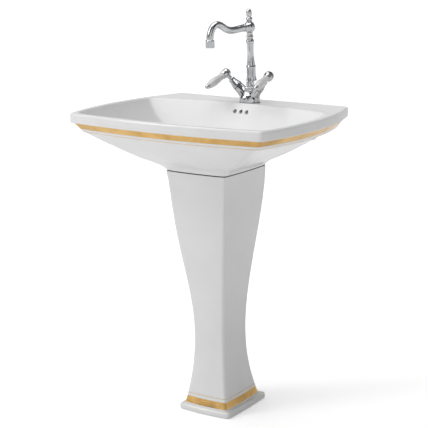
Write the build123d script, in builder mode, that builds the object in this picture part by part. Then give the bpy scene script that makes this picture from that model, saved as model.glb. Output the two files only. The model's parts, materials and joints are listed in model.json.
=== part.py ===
"""Pedestal wash basin with a two-lever swivel-spout tap, pop-up waste and bottle trap.

Millimetres, +Z up. The origin is on the floor under the middle of the overall width and
depth. The wall is the plane y = +BASIN_DEPTH / 2 and the user stands on the -Y side.
"""
import os
from math import cos, radians, sin

from build123d import *

os.makedirs("parts", exist_ok=True)

# ---------------------------------------------------------------- overall sizes
BASIN_WIDTH = 648.0          # across the bowed sides
BASIN_DEPTH = 534.0          # wall to the middle of the bowed front
RIM_HEIGHT = 850.0           # floor to the top of the rim
BASIN_HEIGHT = 157.0         # rim to the underside of the neck
JOINT_GAP = 3.0              # dark joint between the basin and the pedestal

WALL_Y = BASIN_DEPTH / 2
FRONT_Y = -BASIN_DEPTH / 2

# ---------------------------------------------------------------- basin
FRONT_CORNER = 0.454 * BASIN_WIDTH   # half width at the front corners
BACK_CORNER = 0.423 * BASIN_WIDTH    # half width at the wall
FRONT_BOW = 27.0
SIDE_BOW = BASIN_WIDTH / 2 - (FRONT_CORNER + BACK_CORNER) / 2
CORNER_R = 14.0
LIP_HEIGHT = 26.0
LIP_TOP_R = 6.0
LIP_LOW_R = 3.0
RIM_FLAT = 19.0              # level strip around the bowl
DECK_DEPTH = 100.0           # wall to the bowl, on the centre line
DECK_BOW = 42.0              # the bowl edge swings back towards the wall in the middle
OPENING_R = 26.0
CERAMIC = 14.0               # wall thickness of the ware

BAND_TOP_INSET = 6.0
BAND_LOW_INSET = 18.0
BAND_HEIGHT = 16.5
LINE_DROP = 7.0              # lower edge of the band to the thin line
LINE_HEIGHT = 1.2
GOLD = 0.8                   # depth of the gold inlays
GOLD_STOP = 12.0             # the gold stops short of the wall

NECK_HALF = 94.0
NECK_FRONT = FRONT_Y + 176.0
NECK_BACK = WALL_Y - 134.0
NECK_R = 15.0

BOWL_DEPTH = 110.0
BOWL_EDGE_R = 8.0            # round between the level rim and the bowl
BOWL_FLOOR = RIM_HEIGHT - BOWL_DEPTH
WASTE_Y = WALL_Y - 245.0
WASTE_HOLE_R = 23.0
OVERFLOW_R = 5.5
OVERFLOW_PITCH = 19.0
OVERFLOW_DROP = 22.0

TAP_Y = WALL_Y - 68.0
TAP_HOLE_R = 17.5
POCKET_FRONT = TAP_Y - 26.0
OVERFLOW_SHAFT_Y = POCKET_FRONT - 10.5   # head of the shaft behind the three holes
OVERFLOW_FOOT_Y = POCKET_FRONT - 23.0    # foot of the shaft, where the run to the waste starts
OVERFLOW_Z = RIM_HEIGHT - OVERFLOW_DROP
DUCT_Z = BOWL_FLOOR - 18.0
DUCT_RISE = 9.0
DECK_THICK = 18.0
POCKET_HALF = 105.0
WALL_BOLT_SPACING = 280.0
WALL_BOLT_R = 6.5
WALL_BOLT_DROP = 62.0
FLANGE_HALF = 175.0          # flat block that bears on the wall
FLANGE_DEPTH = 78.0
FLANGE_DROP = 100.0
FLOOR_THICK = 26.0           # bowl floor to the hollow of the neck
DUCT_HALF = 24.0
DUCT_DEEP = 8.0

# ---------------------------------------------------------------- pedestal
NECK_Z = RIM_HEIGHT - BASIN_HEIGHT
PEDESTAL_TOP = NECK_Z - JOINT_GAP
PLINTH_HALF = 81.5
PLINTH_FRONT = FRONT_Y + 218.0
PLINTH_BACK = WALL_Y - 104.0
PLINTH_HEIGHT = 18.0
PLINTH_LOW_R = 5.0
PLINTH_TOP_R = 7.0
PEDESTAL_WALL = 12.0
PEDESTAL_R = 9.0
SLOT_HALF = 30.0             # open back for the pipes
FOOT_BAND_LOW = 22.0
FOOT_BAND_HIGH = 41.0
FOOT_LINE_Z = 50.0
FLOOR_BOLT_R = 4.0
FLOOR_BOLT_SPACING = 100.0

# ---------------------------------------------------------------- tap
BODY_LEAN = 13.0             # forward lean of the two arms
COLUMN_LEAN = 5.0            # forward lean of the column
COLUMN_SETBACK = 14.0
DRUM_R = 29.0
DRUM_HEIGHT = 13.0
ARM_ANGLE = 45.0
ARM_START = 10.0             # height of the arms' meeting point above the deck
ARM_END = 46.0               # all arm lengths run from the meeting point
HUB_AT = 98.0
LEVER_REACH = 90.0
LEVER_TURN = {"left": 12.5, "right": 5.0}   # outward from straight ahead, as the levers rest
SHANK_R = 16.4
SHANK_LENGTH = 58.0
SHANK_SPIGOT_R = 12.5
SHANK_SPIGOT = 12.0
SPIGOT_R = 8.0
SPINDLE_R = 4.0
TIE_R = 2.5
INLET_R = 5.0
INLET_DEEP = 16.0
INLET_SPACING = 15.0
GRUB_R = 2.5
GRUB_Z = RIM_HEIGHT + 27.0
COLUMN_FOOT = 60.0
BALL_AT = 209.5
BALL_R = 16.0
SPOUT_SWING = 25.0
NOZZLE_DROP = 34.0           # ball centre down to the foot of the spout
SPOUT_REACH = 129.5
SPOUT_R = 9.7
SPOUT_BORE = 7.9
COLLAR_AT = 0.055            # share of the spout's length
COLLAR_LENGTH = 3.2
POST_R = 6.0

# ---------------------------------------------------------------- pop-up waste and trap
LIFT_ROD_R = 2.5
LIFT_ROD_Y = TAP_Y - 12.5
PIVOT_Z = BOWL_FLOOR - 84.0
PIVOT_ARM = 28.0             # waste axis to the centre of the pivot ball
PIVOT_BALL_R = 6.0
ROD_BORE_R = LIFT_ROD_R + 0.08
STOPPER_LIFT = 6.5
WASTE_FOOT = -108.0          # foot of the waste below the bowl floor
TRAP_TOP = PIVOT_Z - 52.0
OUTLET_Z = TRAP_TOP - 38.0
PIPE_R = 16.0
OUTLET_END_Y = WALL_Y - 72.0   # the drain pipe from the wall joins here


def bowed_face(front_half, back_half, front, back, front_bow, side_bow, back_bow, corner):
    """Four-sided plan outline whose front, sides and back can swell."""
    middle = (front + back) / 2
    wide = (front_half + back_half) / 2 + side_bow
    with BuildSketch(Plane.XY) as outline:
        with BuildLine():
            ThreePointArc((-front_half, front), (0, front - front_bow), (front_half, front))
            ThreePointArc((front_half, front), (wide, middle), (back_half, back))
            ThreePointArc((back_half, back), (0, back + back_bow), (-back_half, back))
            ThreePointArc((-back_half, back), (-wide, middle), (-front_half, front))
        make_face()
        fillet(outline.vertices(), corner)
    add(outline.sketch)


def rim_face(inset, corner=CORNER_R):
    """Outline of the basin rim, drawn in all round except at the wall."""
    bowed_face(
        FRONT_CORNER - inset,
        BACK_CORNER - inset,
        FRONT_Y + FRONT_BOW + inset,
        WALL_Y - inset / 3,
        FRONT_BOW,
        SIDE_BOW,
        0.05,
        corner,
    )


def underside_face(share):
    """Outline between the rim (share 0) and the neck (share 1)."""

    def mix(rim, neck):
        return rim + (neck - rim) * share

    bowed_face(
        mix(FRONT_CORNER, NECK_HALF),
        mix(BACK_CORNER, NECK_HALF),
        mix(FRONT_Y + FRONT_BOW, NECK_FRONT + 6),
        mix(WALL_Y, NECK_BACK - 3),
        mix(FRONT_BOW, 6),
        mix(SIDE_BOW, 5),
        mix(0.05, 3),
        mix(CORNER_R, NECK_R) + 30 * share * (1 - share),
    )


def bowl_face(half, front, back, corner):
    """Outline of the bowl at one level."""
    share = half / (BASIN_WIDTH / 2)
    bowed_face(
        half - SIDE_BOW * 0.55 * share,
        half - SIDE_BOW * 0.45 * share,
        front + 25 * share,
        back - DECK_BOW * share,
        25 * share,
        SIDE_BOW * 0.5 * share,
        DECK_BOW * share,
        corner,
    )


def pedestal_face(half, front, back, inset=0.0):
    """Outline of the pedestal at one level."""
    swell = half * 0.07
    bowed_face(
        half - inset,
        half - inset,
        front + swell + inset,
        back - inset,
        swell,
        swell * 0.6,
        0.05,
        max(PEDESTAL_R - inset / 2, 3.0),
    )


def turned(origin, axis, *runs):
    """Solid of revolution; each run is one point (straight), two (arc) or more (spline).

    Points are (radius, distance along the axis from the origin).
    """
    axis = Vector(*axis).normalized()
    across = Vector(1, 0, 0) if abs(axis.X) < 0.3 else axis.cross(Vector(0, 1, 0))
    across = (across - axis * across.dot(axis)).normalized()
    plane = Plane(origin=origin, x_dir=across, z_dir=across.cross(axis))
    with BuildSketch(plane) as section:
        with BuildLine():
            here = runs[0]
            for run in runs[1:]:
                if isinstance(run[0], tuple):
                    if len(run) == 2:
                        ThreePointArc(here, run[0], run[1])
                    else:
                        Spline(here, *run)
                    here = run[-1]
                else:
                    Line(here, run)
                    here = run
            Line(here, runs[0])
        make_face()
    revolve(section.sketch, axis=Axis(origin, axis))


def save(builder, name):
    builder.part.label = name
    export_step(builder.part, f"parts/{name}.step")


# ================================================================ gold inlays of the basin
BAND_TOP = RIM_HEIGHT - LIP_HEIGHT
BAND_LOW = BAND_TOP - BAND_HEIGHT
LINE_TOP = BAND_LOW - LINE_DROP


LINE_LOW = LINE_TOP - LINE_HEIGHT
LINE_TOP_INSET = BAND_LOW_INSET + 4.2
LINE_LOW_INSET = BAND_LOW_INSET + 5.0

with BuildPart() as basin_gold_band:
    with BuildSketch(Plane.XY.offset(BAND_LOW)):
        rim_face(BAND_LOW_INSET)
    with BuildSketch(Plane.XY.offset(BAND_TOP)):
        rim_face(BAND_TOP_INSET)
    loft(ruled=True)
    with BuildSketch(Plane.XY.offset(BAND_LOW)):
        rim_face(BAND_LOW_INSET + GOLD)
    with BuildSketch(Plane.XY.offset(BAND_TOP)):
        rim_face(BAND_TOP_INSET + GOLD)
    loft(ruled=True, mode=Mode.SUBTRACT)
    with Locations((0, WALL_Y, BAND_TOP)):
        Box(2 * BASIN_WIDTH, 2 * GOLD_STOP, 100, mode=Mode.SUBTRACT)
save(basin_gold_band, "basin_gold_band")

with BuildPart() as basin_gold_line:
    with BuildSketch(Plane.XY.offset(LINE_LOW)):
        rim_face(LINE_LOW_INSET)
    with BuildSketch(Plane.XY.offset(LINE_TOP)):
        rim_face(LINE_TOP_INSET)
    loft(ruled=True)
    with BuildSketch(Plane.XY.offset(LINE_LOW)):
        rim_face(LINE_LOW_INSET + GOLD)
    with BuildSketch(Plane.XY.offset(LINE_TOP)):
        rim_face(LINE_TOP_INSET + GOLD)
    loft(ruled=True, mode=Mode.SUBTRACT)
    with Locations((0, WALL_Y, BAND_TOP)):
        Box(2 * BASIN_WIDTH, 2 * GOLD_STOP, 100, mode=Mode.SUBTRACT)
save(basin_gold_line, "basin_gold_line")

# ================================================================ basin
UNDERSIDE = (                # (drop below the rim, share of the way from rim to neck)
    (70.0, 0.28),
    (88.0, 0.42),
    (110.0, 0.60),
    (131.0, 0.80),
    (146.0, 0.945),
    (BASIN_HEIGHT, 1.0),
)
BOWL = (                     # (drop below the rim, half width, front y, back y, corner)
    (0.0, BASIN_WIDTH / 2 - RIM_FLAT, FRONT_Y + RIM_FLAT, WALL_Y - DECK_DEPTH, 26.0),
    (28.0, BASIN_WIDTH / 2 - RIM_FLAT - 30, FRONT_Y + RIM_FLAT + 28, WALL_Y - DECK_DEPTH - 22, 34.0),
    (62.0, BASIN_WIDTH / 2 - RIM_FLAT - 76, FRONT_Y + RIM_FLAT + 70, WALL_Y - DECK_DEPTH - 44, 40.0),
    (92.0, BASIN_WIDTH / 2 - RIM_FLAT - 136, FRONT_Y + RIM_FLAT + 128, WALL_Y - DECK_DEPTH - 66, 42.0),
    (BOWL_DEPTH, BASIN_WIDTH / 2 - RIM_FLAT - 210, FRONT_Y + RIM_FLAT + 180, WALL_Y - DECK_DEPTH - 92, 36.0),
)

with BuildPart() as basin:
    # lip
    with BuildSketch(Plane.XY.offset(BAND_TOP)):
        rim_face(0.0)
    extrude(amount=LIP_HEIGHT)
    fillet(basin.edges().filter_by_position(Axis.Z, RIM_HEIGHT, RIM_HEIGHT), LIP_TOP_R)
    fillet(basin.edges().filter_by_position(Axis.Z, BAND_TOP, BAND_TOP), LIP_LOW_R)
    # sloping zone that carries the gold
    with BuildSketch(Plane.XY.offset(BAND_LOW)):
        rim_face(BAND_LOW_INSET)
    with BuildSketch(Plane.XY.offset(BAND_TOP)):
        rim_face(BAND_TOP_INSET)
    loft(ruled=True)
    with BuildSketch(Plane.XY.offset(LINE_LOW)):
        rim_face(LINE_LOW_INSET)
    with BuildSketch(Plane.XY.offset(LINE_TOP)):
        rim_face(LINE_TOP_INSET)
    with BuildSketch(Plane.XY.offset(BAND_LOW)):
        rim_face(BAND_LOW_INSET)
    loft(ruled=True)
    # underside down to the neck
    with BuildSketch(Plane.XY.offset(LINE_LOW)):
        rim_face(LINE_LOW_INSET)
    for drop, share in UNDERSIDE:
        with BuildSketch(Plane.XY.offset(RIM_HEIGHT - drop)):
            underside_face(share)
    loft()
    # bowl
    for drop, half, front, back, corner in BOWL:
        with BuildSketch(Plane.XY.offset(RIM_HEIGHT - drop)):
            bowl_face(half, front, back, corner)
    loft(mode=Mode.SUBTRACT)
    level = basin.faces().filter_by_position(Axis.Z, RIM_HEIGHT, RIM_HEIGHT)[0]
    fillet(level.inner_wires()[0].edges(), BOWL_EDGE_R)
    # flat block at the wall
    with BuildSketch(Plane.XY.offset(RIM_HEIGHT - FLANGE_DROP)):
        with Locations((0, WALL_Y - FLANGE_DEPTH / 2)):
            Rectangle(2 * FLANGE_HALF, FLANGE_DEPTH)
    extrude(amount=FLANGE_DROP - LIP_HEIGHT)
    # grooves filled by the gold
    add(basin_gold_band.part, mode=Mode.SUBTRACT)
    add(basin_gold_line.part, mode=Mode.SUBTRACT)
    # pocket under the deck for the tap fixings, open to the wall and below
    with BuildSketch(Plane.XY.offset(NECK_Z - 1)):
        with Locations((0, (POCKET_FRONT + WALL_Y + 1) / 2)):
            Rectangle(2 * POCKET_HALF, WALL_Y + 1 - POCKET_FRONT)
    extrude(amount=BASIN_HEIGHT + 1 - DECK_THICK, mode=Mode.SUBTRACT)
    # hollow of the neck
    with BuildSketch(Plane.XY.offset(NECK_Z - 1)):
        bowed_face(
            NECK_HALF - CERAMIC,
            NECK_HALF - CERAMIC,
            NECK_FRONT + CERAMIC,
            NECK_BACK - CERAMIC,
            4,
            3,
            0.05,
            NECK_R - 4,
        )
    extrude(amount=BASIN_HEIGHT - BOWL_DEPTH - FLOOR_THICK + 1, mode=Mode.SUBTRACT)
    # waste and tap holes
    with Locations((0, WASTE_Y, BOWL_FLOOR)):
        Cylinder(WASTE_HOLE_R, 4 * FLOOR_THICK, mode=Mode.SUBTRACT)
    with Locations((0, TAP_Y, RIM_HEIGHT)):
        Cylinder(TAP_HOLE_R, 4 * DECK_THICK, mode=Mode.SUBTRACT)
    # overflow: three holes, a shaft behind the bowl and a run to the waste hole
    with Locations(Plane.XZ.offset(-OVERFLOW_SHAFT_Y)):
        with Locations(
            (-OVERFLOW_PITCH, OVERFLOW_Z),
            (0, OVERFLOW_Z),
            (OVERFLOW_PITCH, OVERFLOW_Z),
        ):
            Cylinder(OVERFLOW_R, 70, align=(Align.CENTER, Align.CENTER, Align.MIN), mode=Mode.SUBTRACT)
    for level, place in ((DUCT_Z, OVERFLOW_FOOT_Y), (OVERFLOW_Z + 3, OVERFLOW_SHAFT_Y)):
        with BuildSketch(Plane.XY.offset(level)):
            with Locations((0, place)):
                Rectangle(2 * DUCT_HALF, DUCT_DEEP)
    loft(ruled=True, mode=Mode.SUBTRACT)
    with BuildSketch(Plane.XY.offset(DUCT_Z)):
        with Locations((0, (OVERFLOW_FOOT_Y + WASTE_Y) / 2)):
            Rectangle(DUCT_HALF, OVERFLOW_FOOT_Y - WASTE_Y)
    extrude(amount=DUCT_RISE, mode=Mode.SUBTRACT)
    # wall fixing holes
    with Locations(Plane.XZ.offset(-WALL_Y)):
        with GridLocations(WALL_BOLT_SPACING, 1, 2, 1):
            with Locations((0, RIM_HEIGHT - WALL_BOLT_DROP)):
                Cylinder(WALL_BOLT_R, 45, align=(Align.CENTER, Align.CENTER, Align.MIN), mode=Mode.SUBTRACT)
save(basin, "basin")

# ================================================================ pedestal
PEDESTAL = (                 # (height, half width, front y, back y)
    (PLINTH_HEIGHT, 69.0, FRONT_Y + 227, WALL_Y - 121),
    (70.0, 60.0, FRONT_Y + 237, WALL_Y - 138),
    (0.304 * PEDESTAL_TOP, 49.0, FRONT_Y + 247, WALL_Y - 160.5),
    (0.435 * PEDESTAL_TOP, 52.5, FRONT_Y + 240, WALL_Y - 161),
    (0.58 * PEDESTAL_TOP, 63.0, FRONT_Y + 222.5, WALL_Y - 155),
    (0.81 * PEDESTAL_TOP, 82.2, FRONT_Y + 194, WALL_Y - 138),
    (PEDESTAL_TOP, NECK_HALF, NECK_FRONT, NECK_BACK),
)

with BuildPart() as pedestal_shape:
    for height, half, front, back in PEDESTAL:
        with BuildSketch(Plane.XY.offset(height)):
            pedestal_face(half, front, back)
    loft()

with BuildPart() as pedestal_sunk:
    for height, half, front, back in PEDESTAL:
        with BuildSketch(Plane.XY.offset(height)):
            pedestal_face(half, front, back, GOLD)
    loft()

with BuildPart() as pedestal_gold_band:
    with Locations((0, 0, (FOOT_BAND_LOW + FOOT_BAND_HIGH) / 2)):
        Box(BASIN_WIDTH, BASIN_DEPTH, FOOT_BAND_HIGH - FOOT_BAND_LOW)
    add(pedestal_shape.part, mode=Mode.INTERSECT)
    add(pedestal_sunk.part, mode=Mode.SUBTRACT)
save(pedestal_gold_band, "pedestal_gold_band")

with BuildPart() as pedestal_gold_line:
    with Locations((0, 0, FOOT_LINE_Z)):
        Box(BASIN_WIDTH, BASIN_DEPTH, LINE_HEIGHT)
    add(pedestal_shape.part, mode=Mode.INTERSECT)
    add(pedestal_sunk.part, mode=Mode.SUBTRACT)
save(pedestal_gold_line, "pedestal_gold_line")

with BuildPart() as pedestal:
    # plinth with rounded edges
    with BuildSketch():
        pedestal_face(PLINTH_HALF, PLINTH_FRONT, PLINTH_BACK)
    extrude(amount=PLINTH_HEIGHT)
    fillet(pedestal.edges().filter_by_position(Axis.Z, 0, 0), PLINTH_LOW_R)
    fillet(pedestal.edges().filter_by_position(Axis.Z, PLINTH_HEIGHT, PLINTH_HEIGHT), PLINTH_TOP_R)
    add(pedestal_shape.part)
    # hollow, drawn in by the wall thickness
    for height, half, front, back in PEDESTAL:
        with BuildSketch(Plane.XY.offset(height)):
            pedestal_face(half, front, back, PEDESTAL_WALL)
    loft(mode=Mode.SUBTRACT)
    with BuildSketch(Plane.XY.offset(-1)):
        with Locations((0, (PLINTH_FRONT + PLINTH_BACK) / 2)):
            Rectangle(2 * (PLINTH_HALF - 40), PLINTH_BACK - PLINTH_FRONT - 70)
    extrude(amount=PLINTH_HEIGHT + 2, mode=Mode.SUBTRACT)
    # open back for the pipes
    with BuildSketch(Plane.XY.offset(FOOT_LINE_Z + 12)):
        with Locations((0, WALL_Y - 130)):
            Rectangle(2 * SLOT_HALF, 120)
    extrude(amount=PEDESTAL_TOP, mode=Mode.SUBTRACT)
    # floor fixing holes
    with Locations((0, (PLINTH_FRONT + PLINTH_BACK) / 2, PLINTH_HEIGHT)):
        with GridLocations(FLOOR_BOLT_SPACING, 1, 2, 1):
            Cylinder(FLOOR_BOLT_R, 3 * PLINTH_HEIGHT, mode=Mode.SUBTRACT)
    # grooves filled by the gold
    add(pedestal_gold_band.part, mode=Mode.SUBTRACT)
    add(pedestal_gold_line.part, mode=Mode.SUBTRACT)
save(pedestal, "pedestal")

with BuildPart() as neck_gasket:
    with BuildSketch(Plane.XY.offset(PEDESTAL_TOP)):
        pedestal_face(NECK_HALF, NECK_FRONT, NECK_BACK, 2.0)
        with Locations((0, (NECK_FRONT + NECK_BACK) / 2)):
            Rectangle(
                2 * (NECK_HALF - 11),
                NECK_BACK - NECK_FRONT - 24,
                mode=Mode.SUBTRACT,
            )
    extrude(amount=JOINT_GAP)
save(neck_gasket, "neck_gasket")

# ================================================================ tap body and its fixing
DECK = (0, TAP_Y, RIM_HEIGHT)
Z_UP = (0, 0, 1)
Y_BACK = (0, 1, 0)
lean = radians(BODY_LEAN)
FORWARD = Vector(0, -cos(lean), -sin(lean))
ARM_ORIGIN = Vector(0, TAP_Y, RIM_HEIGHT + ARM_START)
rake = radians(COLUMN_LEAN)
COLUMN_AXIS = Vector(0, -sin(rake), cos(rake))
COLUMN_ORIGIN = Vector(0, TAP_Y + COLUMN_SETBACK, RIM_HEIGHT)
SOCKET_DEEP = 22.0
BOSS_R = 19.0
BOSS_TOP = 44.0
CARTRIDGE_R = 10.3
CARTRIDGE_LENGTH = 24.0
SEAT = 1.2                   # thickness of the soft ring under the body


def arm_axis(side):
    """Direction of the left (-1) or right (+1) arm."""
    out = sin(radians(ARM_ANGLE))
    rise = cos(radians(ARM_ANGLE))
    return Vector(side * out, -rise * sin(lean), rise * cos(lean))


with BuildPart() as tap_base_ring:
    turned(DECK, Z_UP, (TAP_HOLE_R, 0), (DRUM_R + 0.3, 0), (DRUM_R + 0.3, SEAT), (TAP_HOLE_R, SEAT))
save(tap_base_ring, "tap_base_ring")

with BuildPart() as tap_body:
    turned(
        DECK,
        Z_UP,
        (0, SEAT),
        (DRUM_R, SEAT),
        (DRUM_R, DRUM_HEIGHT - 3),
        [(DRUM_R - 1.5, DRUM_HEIGHT + 4), (DRUM_R - 4, DRUM_HEIGHT + 9), (BOSS_R, DRUM_HEIGHT + 17)],
        (BOSS_R, BOSS_TOP - 3),
        [(BOSS_R - 0.9, BOSS_TOP - 0.9), (BOSS_R - 3, BOSS_TOP)],
        (0, BOSS_TOP),
    )
    for side in (-1, 1):
        turned(
            ARM_ORIGIN,
            arm_axis(side),
            (0, 0),
            (20, 0),
            (20, 12),
            [(16.4, 28), (14.8, 38), (14.3, ARM_END)],
            (0, ARM_END),
        )
    with Locations((0, TAP_Y, RIM_HEIGHT + SEAT)):
        Box(
            4 * DRUM_R,
            4 * DRUM_R,
            60,
            align=(Align.CENTER, Align.CENTER, Align.MAX),
            mode=Mode.SUBTRACT,
        )
    # cartridge seats, column socket, shank socket, lift rod bore and grub screw hole
    for side in (-1, 1):
        with Locations(Plane(ARM_ORIGIN + arm_axis(side) * ARM_END, z_dir=arm_axis(side))):
            Cylinder(
                CARTRIDGE_R,
                CARTRIDGE_LENGTH,
                align=(Align.CENTER, Align.CENTER, Align.MAX),
                mode=Mode.SUBTRACT,
            )
    with Locations(Plane(COLUMN_ORIGIN + COLUMN_AXIS * (BOSS_TOP + 10), z_dir=COLUMN_AXIS)):
        Cylinder(
            SPIGOT_R,
            SOCKET_DEEP + 10,
            align=(Align.CENTER, Align.CENTER, Align.MAX),
            mode=Mode.SUBTRACT,
        )
    with Locations(DECK):
        Cylinder(SHANK_SPIGOT_R, 2 * SHANK_SPIGOT, mode=Mode.SUBTRACT)
    with Locations((0, LIFT_ROD_Y, RIM_HEIGHT)):
        Cylinder(ROD_BORE_R, 4 * BOSS_TOP, mode=Mode.SUBTRACT)
    with Locations(Plane((0, TAP_Y - BOSS_R, GRUB_Z), z_dir=(0, -1, 0))):
        Cylinder(
            GRUB_R,
            3.2,
            align=(Align.CENTER, Align.CENTER, Align.MAX),
            mode=Mode.SUBTRACT,
        )
save(tap_body, "tap_body")

with BuildPart() as tap_grub_screw:
    with Locations(Plane((0, TAP_Y - BOSS_R, GRUB_Z), z_dir=(0, -1, 0)).offset(-0.4)):
        Cylinder(GRUB_R, 2.8, align=(Align.CENTER, Align.CENTER, Align.MAX))
        Cylinder(
            1.2,
            1.8,
            align=(Align.CENTER, Align.CENTER, Align.MAX),
            mode=Mode.SUBTRACT,
        )
save(tap_grub_screw, "tap_grub_screw")

with BuildPart() as tap_shank:
    turned(
        DECK,
        Z_UP,
        (0, -SHANK_LENGTH),
        (SHANK_R - 1, -SHANK_LENGTH),
        (SHANK_R, 1 - SHANK_LENGTH),
        (SHANK_R, SEAT),
        (SHANK_SPIGOT_R, SEAT),
        (SHANK_SPIGOT_R, SHANK_SPIGOT),
        (0, SHANK_SPIGOT),
    )
    with Locations((0, LIFT_ROD_Y, RIM_HEIGHT)):
        Cylinder(ROD_BORE_R, 4 * SHANK_LENGTH, mode=Mode.SUBTRACT)
    with Locations((0, TAP_Y + 4, RIM_HEIGHT - SHANK_LENGTH)):
        with GridLocations(INLET_SPACING, 1, 2, 1):
            Cylinder(INLET_R, 2 * INLET_DEEP, mode=Mode.SUBTRACT)
save(tap_shank, "tap_shank")

with BuildPart() as tap_rubber_washer:
    turned(
        DECK,
        Z_UP,
        (SHANK_R, -DECK_THICK - 3),
        (24, -DECK_THICK - 3),
        (24, -DECK_THICK),
        (SHANK_R, -DECK_THICK),
    )
save(tap_rubber_washer, "tap_rubber_washer")

with BuildPart() as tap_clamp_washer:
    turned(
        DECK,
        Z_UP,
        (SHANK_R, -DECK_THICK - 5),
        (24, -DECK_THICK - 5),
        (24, -DECK_THICK - 3),
        (SHANK_R, -DECK_THICK - 3),
    )
save(tap_clamp_washer, "tap_clamp_washer")

with BuildPart() as tap_backnut:
    with BuildSketch(Plane.XY.offset(RIM_HEIGHT - DECK_THICK - 13)):
        with Locations((0, TAP_Y)):
            RegularPolygon(23, 6)
            Circle(SHANK_R, mode=Mode.SUBTRACT)
    extrude(amount=8)
save(tap_backnut, "tap_backnut")

# ================================================================ column, spout and finial
with BuildPart() as column:
    turned(
        COLUMN_ORIGIN,
        COLUMN_AXIS,
        (0, BOSS_TOP - SOCKET_DEEP),
        (SPIGOT_R, BOSS_TOP - SOCKET_DEEP),
        (SPIGOT_R, COLUMN_FOOT),
        (15.3, COLUMN_FOOT),
        (15.3, COLUMN_FOOT + 1.8),
        [(13.9, 67), (12.9, 75), (12.5, 86), (12.6, 95.5)],
        [(14.0, 99), (12.8, 102.5)],
        (12.2, 103.5),
        [(10.3, 117), (8.8, 131), (8.8, 145), (9.4, 156), (9.9, 164.5)],
        [(11.6, 170), (9.2, 175.5)],
        (8.6, 178),
        [(10.1, 182.5), (8.6, 187)],
        (8.2, 191),
        (8.2, BALL_AT - 14.8),
        (0, BALL_AT - 14.8),
    )
    with Locations(Plane(COLUMN_ORIGIN + COLUMN_AXIS * (BALL_AT - 14.8), z_dir=COLUMN_AXIS)):
        Cylinder(
            POST_R,
            16,
            align=(Align.CENTER, Align.CENTER, Align.MAX),
            mode=Mode.SUBTRACT,
        )
save(column, "column")

with BuildPart() as spout_post:
    turned(
        COLUMN_ORIGIN,
        COLUMN_AXIS,
        (0, BALL_AT - 30.8),
        (POST_R, BALL_AT - 30.8),
        (POST_R, BALL_AT + 25),
        (0, BALL_AT + 25),
    )
save(spout_post, "spout_post")

BALL_CENTRE = COLUMN_ORIGIN + COLUMN_AXIS * BALL_AT
swing = radians(SPOUT_SWING)
SPOUT_PLANE = Plane(
    origin=BALL_CENTRE,
    x_dir=(-sin(swing), -cos(swing), 0),
    z_dir=(-cos(swing), sin(swing), 0),
)

with BuildPart() as spout_tube:
    with BuildLine(SPOUT_PLANE) as spout_line:
        Spline(
            (9.5, -1.0),
            (36, -3.8),
            (68, -5.6),
            (87, 3.2),
            (102, 10.2),
            (116, 7.6),
            (125.5, -5.5),
            (SPOUT_REACH, -20),
            (SPOUT_REACH, -NOZZLE_DROP),
        )
    spout_path = spout_line.wire()
    with BuildSketch(Plane(spout_path @ 0, z_dir=spout_path % 0)):
        Circle(SPOUT_R)
    sweep(path=spout_path)
    with BuildSketch(Plane(spout_path @ 0, z_dir=spout_path % 0)):
        Circle(SPOUT_BORE)
    sweep(path=spout_path, mode=Mode.SUBTRACT)
save(spout_tube, "spout_tube")

with BuildPart() as spout_ball:
    turned(
        COLUMN_ORIGIN,
        COLUMN_AXIS,
        (POST_R + 0.05, BALL_AT - 14.5),
        (7.6, BALL_AT - 14.5),
        [(BALL_R, BALL_AT), (7.6, BALL_AT + 14.5)],
        (POST_R + 0.05, BALL_AT + 14.5),
    )
    with Locations(Plane(spout_path @ 0, z_dir=spout_path % 0)):
        Cylinder(
            SPOUT_R,
            40,
            align=(Align.CENTER, Align.CENTER, Align.MIN),
            mode=Mode.SUBTRACT,
        )
save(spout_ball, "spout_ball")

with BuildPart() as spout_collar:
    turned(
        spout_path @ COLLAR_AT,
        spout_path % COLLAR_AT,
        (SPOUT_R + 0.15, -COLLAR_LENGTH / 2),
        (SPOUT_R + 1.0, -COLLAR_LENGTH / 2),
        [(SPOUT_R + 1.5, 0), (SPOUT_R + 1.0, COLLAR_LENGTH / 2)],
        (SPOUT_R + 0.15, COLLAR_LENGTH / 2),
    )
save(spout_collar, "spout_collar")

NOZZLE = SPOUT_PLANE.from_local_coords(Vector(SPOUT_REACH, -NOZZLE_DROP, 0))
with BuildPart() as aerator_housing:
    turned(
        NOZZLE,
        Z_UP,
        (SPOUT_R, 4.2),
        (SPOUT_R + 1.2, 4.2),
        [(11.9, 3.2), (12.4, 1.0)],
        (12.4, -16.2),
        (11.6, -17),
        (10.6, -17),
        (10.6, -1),
        (SPOUT_R, -1),
    )
    add(spout_tube.part, mode=Mode.SUBTRACT)
save(aerator_housing, "aerator_housing")

with BuildPart() as aerator_insert:
    turned(NOZZLE, Z_UP, (0, -15.5), (10.6, -15.5), (10.6, -2), (0, -2))
    with Locations(Plane(NOZZLE)):
        with PolarLocations(6.5, 8):
            Cylinder(1.2, 60, mode=Mode.SUBTRACT)
        with PolarLocations(3, 4):
            Cylinder(1.0, 60, mode=Mode.SUBTRACT)
save(aerator_insert, "aerator_insert")

with BuildPart() as finial:
    turned(
        COLUMN_ORIGIN,
        COLUMN_AXIS,
        (0, BALL_AT + 25),
        (POST_R, BALL_AT + 25),
        (POST_R, BALL_AT + 14.8),
        (8.2, BALL_AT + 14.8),
        (7.2, BALL_AT + 19.5),
        [(9.4, BALL_AT + 23.5), (6.8, BALL_AT + 27.0)],
        (5.4, BALL_AT + 28.5),
        [(7.7, BALL_AT + 34), (7.9, BALL_AT + 39.5), (5.2, BALL_AT + 48.5), (0, BALL_AT + 51.5)],
    )
save(finial, "finial")

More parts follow.
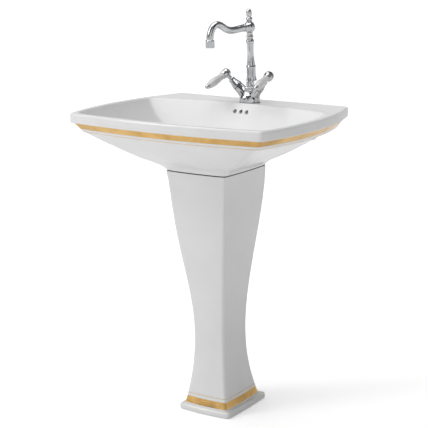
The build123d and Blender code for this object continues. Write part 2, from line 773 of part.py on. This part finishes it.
# ================================================================ handles, left and right
HUB_NECK = 76.6
for side, hand in ((-1, "left"), (1, "right")):
    arm = arm_axis(side)
    hub_centre = ARM_ORIGIN + arm * HUB_AT
    reach = FORWARD.rotate(Axis((0, 0, 0), arm), side * LEVER_TURN[hand])

    with BuildPart() as cartridge:
        turned(
            ARM_ORIGIN,
            arm,
            (0, ARM_END - CARTRIDGE_LENGTH),
            (CARTRIDGE_R, ARM_END - CARTRIDGE_LENGTH),
            (CARTRIDGE_R, ARM_END),
            (SPINDLE_R + 0.06, ARM_END),
            (SPINDLE_R + 0.06, ARM_END - 14),
            (0, ARM_END - 14),
        )
    save(cartridge, f"{hand}_cartridge")

    with BuildPart() as seal:
        turned(
            ARM_ORIGIN,
            arm,
            (5.0, ARM_END),
            (13.6, ARM_END),
            (13.6, ARM_END + 2.2),
            (5.0, ARM_END + 2.2),
        )
    save(seal, f"{hand}_seal")

    with BuildPart() as bonnet:
        turned(
            ARM_ORIGIN,
            arm,
            (5.0, ARM_END + 2.2),
            (14.4, ARM_END + 2.2),
            (14.4, ARM_END + 6),
            [(12.9, 57), (11.4, 63), (10.0, 69), (9.7, 74)],
            [(9.4, 75.6), (8.4, 76.2)],
            (5.0, 76.2),
        )
    save(bonnet, f"{hand}_bonnet")

    with BuildPart() as spindle:
        turned(
            ARM_ORIGIN,
            arm,
            (0, ARM_END - 13.6),
            (SPINDLE_R, ARM_END - 13.6),
            (SPINDLE_R, HUB_AT + 3),
            (0, HUB_AT + 3),
        )
    save(spindle, f"{hand}_spindle")

    with BuildPart() as hub:
        turned(
            ARM_ORIGIN,
            arm,
            (0, HUB_NECK),
            (6.2, HUB_NECK),
            [(5.6, 80), (6.0, 84), (8.6, 87.5), (12.4, 90)],
            [(14.0, HUB_AT), (11.6, 106.5)],
            (9.4, 108.2),
            (0, 108.2),
        )
        turned(
            hub_centre,
            reach,
            (0, 5),
            (8.8, 5),
            (8.8, 13.5),
            [(10.6, 15.2), (9.6, 17)],
            (0, 17),
        )
        with Locations(Plane(ARM_ORIGIN + arm * HUB_NECK, z_dir=arm)):
            Cylinder(
                SPINDLE_R,
                HUB_AT + 3 - HUB_NECK,
                align=(Align.CENTER, Align.CENTER, Align.MIN),
                mode=Mode.SUBTRACT,
            )
        with Locations(Plane(hub_centre + reach * 17, z_dir=reach)):
            Cylinder(
                TIE_R,
                7,
                align=(Align.CENTER, Align.CENTER, Align.MAX),
                mode=Mode.SUBTRACT,
            )
    save(hub, f"{hand}_hub")

    with BuildPart() as cap:
        turned(
            ARM_ORIGIN,
            arm,
            (0, 108.2),
            (8.4, 108.2),
            (8.4, 109.2),
            (7.6, 110.0),
            (0, 110.0),
        )
    save(cap, f"{hand}_cap")

    with BuildPart() as lever:
        turned(
            hub_centre,
            reach,
            (TIE_R, 17),
            (9.0, 17),
            [(9.3, 28), (10.8, 44), (11.4, 56), (10.4, 68), (7.4, LEVER_REACH - 12.5)],
            (TIE_R, LEVER_REACH - 12.5),
        )
    save(lever, f"{hand}_lever")

    with BuildPart() as tip:
        turned(
            hub_centre,
            reach,
            (0, LEVER_REACH - 6),
            (TIE_R, LEVER_REACH - 6),
            (TIE_R, LEVER_REACH - 12.5),
            (6.4, LEVER_REACH - 12.5),
            [(7.4, LEVER_REACH - 10.5), (6.2, LEVER_REACH - 8.5)],
            [(6.3, LEVER_REACH - 5), (4.4, LEVER_REACH - 1.6), (0, LEVER_REACH)],
        )
    save(tip, f"{hand}_tip")

    with BuildPart() as tie_rod:
        turned(
            hub_centre,
            reach,
            (0, 10),
            (TIE_R, 10),
            (TIE_R, LEVER_REACH - 6),
            (0, LEVER_REACH - 6),
        )
    save(tie_rod, f"{hand}_tie_rod")

# ================================================================ pop-up waste
WASTE = (0, WASTE_Y, BOWL_FLOOR)
STRAP_Y = LIFT_ROD_Y - LIFT_ROD_R - 1.0
BALL_Y = WASTE_Y + PIVOT_ARM
CLOSED_SEAT = 2.0            # stopper seat above the bowl floor

with BuildPart() as lift_rod:
    turned(
        (0, LIFT_ROD_Y, RIM_HEIGHT),
        Z_UP,
        (0, PIVOT_Z + 8 - RIM_HEIGHT),
        (LIFT_ROD_R, PIVOT_Z + 8 - RIM_HEIGHT),
        (LIFT_ROD_R, BOSS_TOP + 8),
        (0, BOSS_TOP + 8),
    )
save(lift_rod, "lift_rod")

with BuildPart() as lift_knob:
    turned(
        (0, LIFT_ROD_Y, RIM_HEIGHT + BOSS_TOP),
        Z_UP,
        (LIFT_ROD_R, 0.5),
        (3.2, 0.5),
        (2.9, 2.5),
        [(4.2, 8), (3.6, 13.5), (0, 17.5)],
        (0, 8),
        (LIFT_ROD_R, 8),
    )
save(lift_knob, "lift_knob")

with BuildPart() as clevis_strap:
    with Locations((0, STRAP_Y, PIVOT_Z + 18)):
        Box(9, 2, 84)
    with Locations(Plane.XZ.offset(-STRAP_Y)):
        with Locations((0, PIVOT_Z)):
            Cylinder(2.8, 10, mode=Mode.SUBTRACT)
        for hole in (1, 2):
            with Locations((0, PIVOT_Z - 10 * hole), (0, PIVOT_Z + 8 * hole)):
                Cylinder(2.0, 10, mode=Mode.SUBTRACT)
save(clevis_strap, "clevis_strap")

with BuildPart() as strap_clamps:
    for level in (34, 50):
        with Locations((0, LIFT_ROD_Y, PIVOT_Z + level)):
            Box(9, 2 * LIFT_ROD_R, 7)
            Cylinder(LIFT_ROD_R, 20, mode=Mode.SUBTRACT)
save(strap_clamps, "strap_clamps")

with BuildPart() as waste_flange_seal:
    turned(WASTE, Z_UP, (24, 0), (30, 0), (30, 1), (24, 1))
save(waste_flange_seal, "waste_flange_seal")

with BuildPart() as waste_body:
    turned(
        WASTE,
        Z_UP,
        (17, WASTE_FOOT),
        (20, WASTE_FOOT),
        (20, -1),
        (22.6, 1),
        (31, 1),
        [(31.4, 2.2), (30, 3.2)],
        (20.5, 3.0),
        (18.4, 1.0),
        (17, 1.0),
    )
    with Locations(Plane((0, WASTE_Y + 17.5, PIVOT_Z), z_dir=Y_BACK)):
        Cylinder(11, 18.5, align=(Align.CENTER, Align.CENTER, Align.MIN))
    with Locations(Plane((0, WASTE_Y + 10, PIVOT_Z), z_dir=Y_BACK)):
        Cylinder(PIVOT_BALL_R + 0.3, 40, align=(Align.CENTER, Align.CENTER, Align.MIN), mode=Mode.SUBTRACT)
    with Locations((0, WASTE_Y, DUCT_Z + DUCT_RISE / 2)):
        Box(90, 12, DUCT_RISE - 2, mode=Mode.SUBTRACT)
save(waste_body, "waste_body")

with BuildPart() as waste_rubber_washer:
    turned(
        WASTE,
        Z_UP,
        (20, -FLOOR_THICK - 6),
        (33, -FLOOR_THICK - 6),
        (33, -FLOOR_THICK),
        (WASTE_HOLE_R - 0.5, -FLOOR_THICK),
        (20, -FLOOR_THICK + 4),
    )
save(waste_rubber_washer, "waste_rubber_washer")

with BuildPart() as waste_locknut:
    with BuildSketch(Plane.XY.offset(BOWL_FLOOR - FLOOR_THICK - 16)):
        with Locations((0, WASTE_Y)):
            RegularPolygon(34, 6)
            Circle(20, mode=Mode.SUBTRACT)
    extrude(amount=10)
save(waste_locknut, "waste_locknut")

with BuildPart() as pivot_nut:
    turned(
        (0, WASTE_Y + 30.5, PIVOT_Z),
        Y_BACK,
        (11, -3),
        (14, -3),
        (14, 10.5),
        (12.5, 12),
        (6.6, 12),
        (5.0, 5.8),
        (11, 5.8),
    )
save(pivot_nut, "pivot_nut")

with BuildPart() as pivot_rod:
    with Locations((0, BALL_Y, PIVOT_Z)):
        Sphere(PIVOT_BALL_R)
    with Locations(Plane((0, WASTE_Y - 4, PIVOT_Z), z_dir=Y_BACK)):
        Cylinder(2, STRAP_Y + 14 - WASTE_Y, align=(Align.CENTER, Align.CENTER, Align.MIN))
save(pivot_rod, "pivot_rod")

with BuildPart() as stopper:
    turned(
        (0, WASTE_Y, BOWL_FLOOR + CLOSED_SEAT + STOPPER_LIFT),
        Z_UP,
        (0, PIVOT_Z + 2.4 - BOWL_FLOOR - CLOSED_SEAT - STOPPER_LIFT),
        (3, PIVOT_Z + 2.4 - BOWL_FLOOR - CLOSED_SEAT - STOPPER_LIFT),
        (3, -4),
        (14, -4),
        (14, -1.5),
        (19, 0),
        (20, 1.2),
        (17, 3.4),
        (9, 4.6),
        (0, 4.8),
    )
    with Locations((0, WASTE_Y, BOWL_FLOOR - 22)):
        Box(33.4, 1.6, 34)
        Box(1.6, 33.4, 34)
save(stopper, "stopper")

with BuildPart() as stopper_seal:
    turned(
        (0, WASTE_Y, BOWL_FLOOR + CLOSED_SEAT + STOPPER_LIFT),
        Z_UP,
        (14, -4),
        (15.6, -4),
        (16.6, -2.6),
        (15.6, -1.02),
        (14, -1.5),
    )
save(stopper_seal, "stopper_seal")

# ================================================================ bottle trap
with BuildPart() as waste_tail:
    turned(
        WASTE,
        Z_UP,
        (PIPE_R - 2, TRAP_TOP - 100 - BOWL_FLOOR),
        (PIPE_R, TRAP_TOP - 100 - BOWL_FLOOR),
        (PIPE_R, WASTE_FOOT - 12),
        (20, WASTE_FOOT - 8),
        (20, WASTE_FOOT),
        (17, WASTE_FOOT),
        (PIPE_R - 2, WASTE_FOOT - 8),
    )
save(waste_tail, "waste_tail")

TRAP = (0, WASTE_Y, TRAP_TOP)
with BuildPart() as trap_body:
    turned(
        TRAP,
        Z_UP,
        (PIPE_R + 0.1, -7),
        (PIPE_R + 0.1, 4),
        (20, 4),
        (20, -12),
        [(27.5, -15.5), (31, -24)],
        (31, -76),
        (28.4, -76),
        (28.4, -26),
        [(26, -18.6), (19, -15)],
        (PIPE_R + 0.1, -15),
    )
    with Locations(Plane((0, WASTE_Y + 26, OUTLET_Z), z_dir=Y_BACK)):
        Cylinder(20, 20, align=(Align.CENTER, Align.CENTER, Align.MIN))
        Cylinder(13, 20, align=(Align.CENTER, Align.CENTER, Align.MIN), mode=Mode.SUBTRACT)
    with Locations(Plane((0, WASTE_Y + 34, OUTLET_Z), z_dir=Y_BACK)):
        Cylinder(PIPE_R + 0.02, 20, align=(Align.CENTER, Align.CENTER, Align.MIN), mode=Mode.SUBTRACT)
    with Locations((0, WASTE_Y, TRAP_TOP - 50)):
        Cylinder(28.4, 48, mode=Mode.SUBTRACT)
save(trap_body, "trap_body")

with BuildPart() as trap_inlet_nut:
    turned(
        TRAP,
        Z_UP,
        (20, -8),
        (24, -8),
        (24, 7),
        (22.5, 9),
        (PIPE_R, 9),
        (PIPE_R, 6.5),
        (20, 4),
    )
save(trap_inlet_nut, "trap_inlet_nut")

with BuildPart() as trap_cup_seal:
    turned(TRAP, Z_UP, (28.4, -78.5), (31, -78.5), (31, -76), (28.4, -76))
save(trap_cup_seal, "trap_cup_seal")

with BuildPart() as trap_cup:
    turned(
        TRAP,
        Z_UP,
        (0, -128),
        (16, -128),
        [(26, -124), (31, -114)],
        (32.5, -82),
        (34, -80),
        (34, -66),
        (33, -65),
        (31, -65),
        (31, -78.5),
        (28.4, -78.5),
        (28.4, -82),
        (28.2, -110),
        [(24, -121), (15, -125)],
        (0, -125),
    )
    with Locations((0, WASTE_Y, TRAP_TOP - 73)):
        with PolarLocations(35.2, 24):
            Cylinder(2.0, 20, mode=Mode.SUBTRACT)
save(trap_cup, "trap_cup")

with BuildPart() as trap_outlet_nut:
    turned(
        (0, WASTE_Y, OUTLET_Z),
        Y_BACK,
        (20, 36),
        (23, 36),
        (23, 50),
        (21.5, 52),
        (PIPE_R, 52),
        (PIPE_R, 49),
        (20, 46),
    )
save(trap_outlet_nut, "trap_outlet_nut")

with BuildPart() as outlet_pipe:
    with BuildSketch(Plane((0, WASTE_Y + 34, OUTLET_Z), z_dir=Y_BACK)):
        Circle(PIPE_R)
        Circle(PIPE_R - 2, mode=Mode.SUBTRACT)
    extrude(amount=OUTLET_END_Y - WASTE_Y - 34)
save(outlet_pipe, "outlet_pipe")
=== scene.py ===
"""Looks for the pedestal wash basin: glaze, gold lustre, chrome, porcelain, rubber and brass."""

import json
import math

import bmesh
import bpy
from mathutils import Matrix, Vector

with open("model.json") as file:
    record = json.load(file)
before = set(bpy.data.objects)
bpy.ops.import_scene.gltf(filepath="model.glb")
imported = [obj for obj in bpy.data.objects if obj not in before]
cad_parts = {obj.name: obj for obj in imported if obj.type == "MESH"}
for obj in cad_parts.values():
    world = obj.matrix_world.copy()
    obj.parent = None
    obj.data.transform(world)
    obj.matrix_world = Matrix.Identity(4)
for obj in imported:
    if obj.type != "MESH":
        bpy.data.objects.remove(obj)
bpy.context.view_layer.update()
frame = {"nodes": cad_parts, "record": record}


# ---------------------------------------------------------------- materials
def new_material(name):
    """A node material with object coordinates ready to use."""
    material = bpy.data.materials.new(name)
    material.use_nodes = True
    nodes = material.node_tree.nodes
    shader = nodes["Principled BSDF"]
    place = nodes.new("ShaderNodeTexCoord")
    place.location = (-1100, 0)
    return material, shader, place.outputs["Object"]


def link(material, out, to):
    material.node_tree.links.new(out, to)


def noise(material, coordinates, scale, detail=3.0, stretch=(1, 1, 1)):
    """Soft noise, stretched along an axis where the finish has a direction."""
    nodes = material.node_tree.nodes
    mapping = nodes.new("ShaderNodeMapping")
    mapping.inputs["Scale"].default_value = stretch
    texture = nodes.new("ShaderNodeTexNoise")
    texture.inputs["Scale"].default_value = scale
    texture.inputs["Detail"].default_value = detail
    link(material, coordinates, mapping.inputs["Vector"])
    link(material, mapping.outputs["Vector"], texture.inputs["Vector"])
    return texture.outputs["Fac"]


def ramp(material, value, low, high, start=0.3, end=0.7):
    """Maps a noise value to a range of colours or greys."""
    node = material.node_tree.nodes.new("ShaderNodeValToRGB")
    node.color_ramp.elements[0].position = start
    node.color_ramp.elements[1].position = end
    node.color_ramp.elements[0].color = (*low, 1.0)
    node.color_ramp.elements[1].color = (*high, 1.0)
    link(material, value, node.inputs["Fac"])
    return node.outputs["Color"]


def grey(level):
    return (level, level, level)


def bump(material, shader, value, strength, distance):
    node = material.node_tree.nodes.new("ShaderNodeBump")
    node.inputs["Strength"].default_value = strength
    node.inputs["Distance"].default_value = distance
    link(material, value, node.inputs["Height"])
    link(material, node.outputs["Normal"], shader.inputs["Normal"])


# Painted shade: narrow holes, gaps and concave corners are darkened in the colour, as if little
# light reached them.
PAINTED_SHADE_REACH = 0.010          # metres: painted shade darkens gaps narrower than this
PAINTED_SHADE_LEVEL = 0.06
PAINTED_SHADE_FROM, PAINTED_SHADE_TO = 0.12, 0.45


def with_painted_shade(material, colour):
    """Paints shade into narrow holes and gaps, darkening the colour where little light would reach.
    """
    nodes = material.node_tree.nodes
    depth = nodes.new("ShaderNodeAmbientOcclusion")
    depth.inputs["Distance"].default_value = PAINTED_SHADE_REACH
    depth.only_local = True
    depth.samples = 8
    painted_shade_factor = ramp(
        material, depth.outputs["AO"], grey(PAINTED_SHADE_LEVEL), grey(1.0), PAINTED_SHADE_FROM, PAINTED_SHADE_TO
    )
    blend = nodes.new("ShaderNodeMix")
    blend.data_type = "RGBA"
    blend.blend_type = "MULTIPLY"
    blend.inputs["Factor"].default_value = 1.0
    link(material, colour, blend.inputs["A"])
    link(material, painted_shade_factor, blend.inputs["B"])
    return blend.outputs["Result"]


def glaze(name, thin, thick, waviness):
    """Vitreous glaze: an even body, faintly uneven in depth, under a clear glossy coat."""
    material, shader, place = new_material(name)
    shader.inputs["Roughness"].default_value = 0.22
    shader.inputs["IOR"].default_value = 1.46
    shader.inputs["Coat Weight"].default_value = 0.35
    shader.inputs["Coat Roughness"].default_value = 0.03
    shader.inputs["Coat IOR"].default_value = 1.5
    pooled = noise(material, place, 7.0, detail=2.0)
    body = ramp(material, pooled, thin, thick)
    # The body colour carries painted shade in holes and gaps.
    link(material, with_painted_shade(material, body), shader.inputs["Base Color"])
    ripple = noise(material, place, 38.0, detail=1.0)
    bump(material, shader, ripple, waviness, 0.0006)
    return material


def gold_lustre():
    """Fired-on lustre: bright metal, slightly cloudy, thinner and darker in patches."""
    material, shader, place = new_material("gold_lustre")
    shader.inputs["Metallic"].default_value = 1.0
    shader.inputs["IOR"].default_value = 1.5
    cloud = noise(material, place, 22.0, detail=4.0)
    tint = ramp(material, cloud, (0.62, 0.36, 0.11), (0.84, 0.55, 0.21))
    link(material, tint, shader.inputs["Base Color"])
    streak = noise(material, place, 60.0, detail=3.0, stretch=(1, 1, 5))
    link(material, ramp(material, streak, grey(0.08), grey(0.16)), shader.inputs["Roughness"])
    bump(material, shader, streak, 0.04, 0.0004)
    return material


def chrome():
    """Polished plate with the faint haze of water marks."""
    material, shader, place = new_material("chrome_plate")
    shader.inputs["Metallic"].default_value = 1.0
    haze = noise(material, place, 90.0, detail=4.0)
    tint = ramp(material, haze, (0.60, 0.61, 0.63), (0.68, 0.69, 0.70))
    link(material, tint, shader.inputs["Base Color"])
    link(material, ramp(material, haze, grey(0.02), grey(0.07)), shader.inputs["Roughness"])
    wave = noise(material, place, 45.0, detail=1.0)
    bump(material, shader, wave, 0.02, 0.0003)
    return material


def rubber():
    material, shader, place = new_material("black_rubber")
    shader.inputs["Specular IOR Level"].default_value = 0.3
    bloom = noise(material, place, 120.0, detail=5.0)
    link(material, ramp(material, bloom, grey(0.012), grey(0.035)), shader.inputs["Base Color"])
    link(material, ramp(material, bloom, grey(0.60), grey(0.85)), shader.inputs["Roughness"])
    bump(material, shader, bloom, 0.25, 0.0002)
    return material


def turned_brass():
    """Uncoated brass with the rings left by the lathe."""
    material, shader, place = new_material("bare_brass")
    shader.inputs["Metallic"].default_value = 1.0
    tarnish = noise(material, place, 50.0, detail=4.0)
    tint = ramp(material, tarnish, (0.52, 0.36, 0.16), (0.80, 0.62, 0.33))
    link(material, tint, shader.inputs["Base Color"])
    rings = noise(material, place, 30.0, detail=2.0, stretch=(1, 1, 60))
    link(material, ramp(material, rings, grey(0.20), grey(0.42)), shader.inputs["Roughness"])
    bump(material, shader, rings, 0.15, 0.0002)
    return material


def drawn_steel():
    material, shader, place = new_material("drawn_steel")
    shader.inputs["Metallic"].default_value = 1.0
    lines = noise(material, place, 140.0, detail=3.0, stretch=(1, 1, 0.06))
    tint = ramp(material, lines, (0.46, 0.47, 0.48), (0.64, 0.65, 0.66))
    link(material, tint, shader.inputs["Base Color"])
    link(material, ramp(material, lines, grey(0.22), grey(0.38)), shader.inputs["Roughness"])
    bump(material, shader, lines, 0.1, 0.0001)
    return material


def moulded_plastic():
    material, shader, place = new_material("white_plastic")
    grain = noise(material, place, 260.0, detail=2.0)
    link(material, ramp(material, grain, grey(0.74), grey(0.84)), shader.inputs["Base Color"])
    link(material, ramp(material, grain, grey(0.40), grey(0.55)), shader.inputs["Roughness"])
    bump(material, shader, grain, 0.1, 0.0001)
    return material


FINISHES = {
    "white_glaze": glaze("white_glaze", (0.79, 0.795, 0.79), (0.84, 0.84, 0.835), 0.05),
    "white_porcelain": glaze("white_porcelain", (0.76, 0.76, 0.75), (0.81, 0.81, 0.80), 0.03),
    "gold_lustre": gold_lustre(),
    "chrome_plate": chrome(),
    "black_rubber": rubber(),
    "bare_brass": turned_brass(),
    "steel": drawn_steel(),
    "white_plastic": moulded_plastic(),
}
slot_of = {part["node"]: part["material_slot"] for part in frame["record"]["subparts"]}
for node, shape in frame["nodes"].items():
    shape.data.materials.clear()
    shape.data.materials.append(FINISHES[slot_of[node]])

# ---------------------------------------------------------------- floor, light and camera
FLOOR_SIZE = 80.0
FLOOR_GLOW = 0.34
ROOM_LIGHT = 0.72
KEY_POWER = 70.0
TOP_STRENGTH = 1.9
DARK_SCREENS = (             # (towards, stretch upwards, half width in degrees)
    ((-1.0, -0.10, 0.25), 3.0, 12.0),
    ((-0.52, -0.83, 0.20), 1.0, 15.0),
    ((0.15, -1.0, 0.30), 3.0, 9.0),
    ((1.0, -0.25, 0.25), 3.0, 13.0),
    ((0.75, 0.65, 0.30), 3.0, 9.0),
)
SCREEN_LEVEL = 0.015         # share of the room's light that a dark screen lets through
SCREEN_EDGE = 0.85           # share of the half width that is fully dark
HORIZON_END = 0.18
ZENITH_START = 0.52
ZENITH_COLOUR = (0.20, 0.20, 0.205)
KEY_PLACE = (-3.0, -3.4, 3.4)
KEY_AIM = (0, 0, 0.6)
KEY_SIZE = (1.6, 2.4)
TOP_TOWARDS = (-0.2, -0.15, 1.0)
TOP_SPREAD = math.radians(70)
CAMERA_PLACE = (1.8215, -2.8696, 1.3392)
CAMERA_TURN = math.radians(32.307)
CAMERA_DIP = math.radians(12.821)
CAMERA_LENS = 107.5
CAMERA_SENSOR = 36.0


def plain_floor():
    mesh = bpy.data.meshes.new("floor")
    shape = bmesh.new()
    bmesh.ops.create_grid(shape, x_segments=1, y_segments=1, size=FLOOR_SIZE / 2)
    shape.to_mesh(mesh)
    shape.free()
    floor = bpy.data.objects.new("floor", mesh)
    bpy.context.scene.collection.objects.link(floor)
    material, shader, place = new_material("floor_paint")
    shader.inputs["Roughness"].default_value = 0.9
    shader.inputs["Specular IOR Level"].default_value = 0.1
    patch = noise(material, place, 3.0)
    link(material, ramp(material, patch, grey(0.92), grey(0.94)), shader.inputs["Base Color"])
    shader.inputs["Emission Color"].default_value = (1.0, 1.0, 1.0, 1.0)
    # Only the camera sees this glow, so it whitens the floor without lighting the basin from below.
    seen = material.node_tree.nodes.new("ShaderNodeLightPath")
    glow = material.node_tree.nodes.new("ShaderNodeMath")
    glow.operation = "MULTIPLY"
    glow.inputs[1].default_value = FLOOR_GLOW
    link(material, seen.outputs["Is Camera Ray"], glow.inputs[0])
    link(material, glow.outputs["Value"], shader.inputs["Emission Strength"])
    mesh.materials.append(material)


def soft_light(name, place, aim, size, power):
    """A large soft lamp turned towards a point."""
    lamp = bpy.data.lights.new(name, "AREA")
    lamp.shape = "RECTANGLE"
    lamp.size, lamp.size_y = size
    lamp.energy = power
    holder = bpy.data.objects.new(name, lamp)
    holder.location = place
    holder.rotation_euler = (Vector(aim) - Vector(place)).to_track_quat("-Z", "Y").to_euler()
    bpy.context.scene.collection.objects.link(holder)


def overhead(name, towards, strength):
    """A broad ceiling of light, even over the whole floor."""
    lamp = bpy.data.lights.new(name, "SUN")
    lamp.energy = strength
    lamp.angle = TOP_SPREAD
    holder = bpy.data.objects.new(name, lamp)
    holder.rotation_euler = Vector(towards).to_track_quat("Z", "Y").to_euler()
    bpy.context.scene.collection.objects.link(holder)


def screen(tree, direction, tall, half_angle, light):
    """Darkens the room in one direction, as a black screen does: tall stretches it upwards."""
    squash = tree.nodes.new("ShaderNodeVectorMath")
    squash.operation = "MULTIPLY"
    squash.inputs[1].default_value = (1.0, 1.0, 1.0 / tall)
    unit = tree.nodes.new("ShaderNodeVectorMath")
    unit.operation = "NORMALIZE"
    aim = tree.nodes.new("ShaderNodeVectorMath")
    aim.operation = "DOT_PRODUCT"
    across, along, up = direction
    aim.inputs[1].default_value = Vector((across, along, up / tall)).normalized()
    edge = tree.nodes.new("ShaderNodeMapRange")
    edge.inputs["From Min"].default_value = math.cos(math.radians(half_angle))
    edge.inputs["From Max"].default_value = math.cos(math.radians(half_angle * SCREEN_EDGE))
    edge.inputs["To Min"].default_value = 1.0
    edge.inputs["To Max"].default_value = SCREEN_LEVEL
    darken = tree.nodes.new("ShaderNodeVectorMath")
    darken.operation = "SCALE"
    place = tree.nodes.new("ShaderNodeTexCoord")
    tree.links.new(place.outputs["Generated"], squash.inputs[0])
    tree.links.new(squash.outputs["Vector"], unit.inputs[0])
    tree.links.new(unit.outputs["Vector"], aim.inputs[0])
    tree.links.new(aim.outputs["Value"], edge.inputs["Value"])
    tree.links.new(light, darken.inputs[0])
    tree.links.new(edge.outputs["Result"], darken.inputs["Scale"])
    return darken.outputs["Vector"]


def studio():
    """A pale room, bright at the horizon and dim overhead, with dark screens for the metal."""
    world = bpy.data.worlds.new("studio")
    world.use_nodes = True
    tree = world.node_tree
    background = tree.nodes["Background"]
    background.inputs["Strength"].default_value = ROOM_LIGHT
    place = tree.nodes.new("ShaderNodeTexCoord")
    split = tree.nodes.new("ShaderNodeSeparateXYZ")
    rise = tree.nodes.new("ShaderNodeValToRGB")
    rise.color_ramp.elements[0].position = HORIZON_END
    rise.color_ramp.elements[0].color = (1.0, 1.0, 1.0, 1.0)
    rise.color_ramp.elements[1].position = ZENITH_START
    rise.color_ramp.elements[1].color = (*ZENITH_COLOUR, 1.0)
    tree.links.new(place.outputs["Generated"], split.inputs["Vector"])
    tree.links.new(split.outputs["Z"], rise.inputs["Fac"])
    light = rise.outputs["Color"]
    for direction, tall, half_angle in DARK_SCREENS:
        light = screen(tree, direction, tall, half_angle, light)
    tree.links.new(light, background.inputs["Color"])
    bpy.context.scene.world = world
    bpy.context.scene.view_settings.view_transform = "Standard"
    soft_light("key", KEY_PLACE, KEY_AIM, KEY_SIZE, KEY_POWER)
    overhead("top", TOP_TOWARDS, TOP_STRENGTH)


def camera():
    lens = bpy.data.cameras.new("camera")
    lens.lens = CAMERA_LENS
    lens.sensor_width = CAMERA_SENSOR
    holder = bpy.data.objects.new("camera", lens)
    holder.location = CAMERA_PLACE
    holder.rotation_euler = (math.pi / 2 - CAMERA_DIP, 0, CAMERA_TURN)
    bpy.context.scene.collection.objects.link(holder)
    bpy.context.scene.camera = holder


plain_floor()
studio()
camera()
